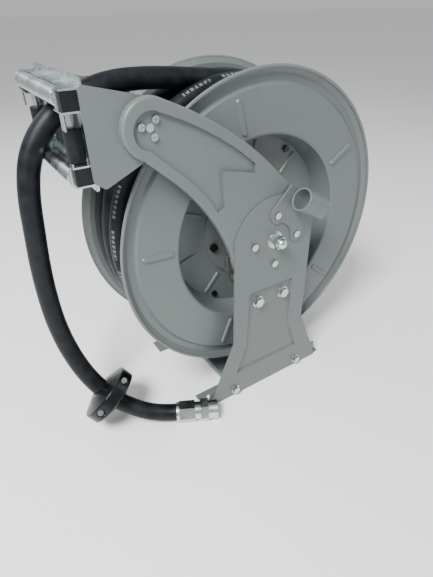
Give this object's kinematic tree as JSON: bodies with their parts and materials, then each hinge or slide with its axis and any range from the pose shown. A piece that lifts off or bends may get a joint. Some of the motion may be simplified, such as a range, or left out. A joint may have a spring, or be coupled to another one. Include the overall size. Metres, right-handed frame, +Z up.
{
  "type": "fire hose reel",
  "caption": "Floor-standing hose reel: a dished drum of wound rubber hose between two pedestals, with leaning arms that carry a roller guide, a hose stop and a threaded hose end.",
  "frame": {"origin": "on the floor, in the middle of the four floor-bolt holes, straight below the middle of the shaft", "axes": "+Z up; the shaft lies along Y and the front faces -Y; the hose leaves over the top towards -X"},
  "size_m": [0.6038, 0.3334, 0.57],
  "materials": {
    "frame_paint": "semi-gloss",
    "drum_paint": "semi-gloss",
    "zinc_plate": "bright zinc",
    "steel": "satin",
    "fastener": "zinc",
    "dark_fastener": "black finish",
    "chrome": "polished",
    "black_nylon": "satin",
    "bronze": "satin",
    "hose_rubber": "matt",
    "stop_rubber": "matt"
  },
  "bodies": {
    "frame": {"acorn_nut": "chrome", "arm_tie_rod": "zinc_plate", "arm_tip_screws": "fastener", "base_bolts": "fastener", "base_channel": "frame_paint", "brace_bolts": "fastener", "brace_nuts": "fastener", "end_fitting": "chrome", "foot_bolts": "fastener", "front_arm": "frame_paint", "front_foot_rail": "frame_paint", "front_gusset": "frame_paint", "front_pedestal": "frame_paint", "guide_bottom_bracket": "zinc_plate", "guide_corner_blocks": "black_nylon", "guide_side_yokes": "zinc_plate", "guide_top_bracket": "zinc_plate", "hose_stop": "stop_rubber", "hose_stop_screws": "fastener", "hose_strand": "hose_rubber", "inlet_elbow": "bronze", "level_roller_pins": "steel", "main_shaft": "steel", "nozzle_bracket": "frame_paint", "nozzle_holder_tube": "frame_paint", "pawl_pin": "steel", "pawl_spring": "steel", "pedestal_braces": "frame_paint", "rear_arm": "frame_paint", "rear_foot_rail": "frame_paint", "rear_gusset": "frame_paint", "rear_pedestal": "frame_paint", "shaft_lock_nut": "fastener", "shaft_plate_bolts": "fastener", "shaft_plates": "zinc_plate", "spring_arbor": "steel", "upright_roller_pins": "steel"},
    "drum": {"front_flange": "drum_paint", "rear_flange": "drum_paint", "drum_core": "drum_paint", "core_bolts": "dark_fastener", "front_hub": "drum_paint", "rear_hub": "drum_paint", "hub_bolts": "dark_fastener", "shaft_bearings": "bronze", "spring_cover": "zinc_plate", "spring_case": "zinc_plate", "power_spring": "steel", "ratchet_wheel": "steel", "ratchet_screws": "fastener", "swivel_sleeve": "bronze", "swivel_seals": "stop_rubber", "riser_pipe": "steel", "hose_inner_tail": "hose_rubber", "hose_winding": "hose_rubber"},
    "top_roller": {"top_roller": "zinc_plate"},
    "bottom_roller": {"bottom_roller": "zinc_plate"},
    "front_roller": {"front_roller": "black_nylon"},
    "rear_roller": {"rear_roller": "black_nylon"},
    "pawl": {"pawl": "steel"}
  },
  "joints": [
    {"name": "drum_spin", "type": "hinge", "parent": "frame", "child": "drum", "pos_m": [0, 0, 0.313], "axis": [0, 1, 0], "continuous": true},
    {"name": "top_roller_spin", "type": "hinge", "parent": "frame", "child": "top_roller", "pos_m": [-0.286, 0, 0.551], "axis": [0, 1, 0], "continuous": true},
    {"name": "bottom_roller_spin", "type": "hinge", "parent": "frame", "child": "bottom_roller", "pos_m": [-0.286, 0, 0.465], "axis": [0, 1, 0], "continuous": true},
    {"name": "front_roller_spin", "type": "hinge", "parent": "frame", "child": "front_roller", "pos_m": [-0.2775, -0.076, 0.508], "axis": [0, 0, 1], "continuous": true},
    {"name": "rear_roller_spin", "type": "hinge", "parent": "frame", "child": "rear_roller", "pos_m": [-0.2775, 0.076, 0.508], "axis": [0, 0, 1], "continuous": true},
    {"name": "pawl_pivot", "type": "hinge", "parent": "frame", "child": "pawl", "pos_m": [-0.062, -0.093, 0.251], "axis": [0, 1, 0], "range_deg": [0, 11], "stiffness_Nm_per_rad": 0.5}
  ]
}
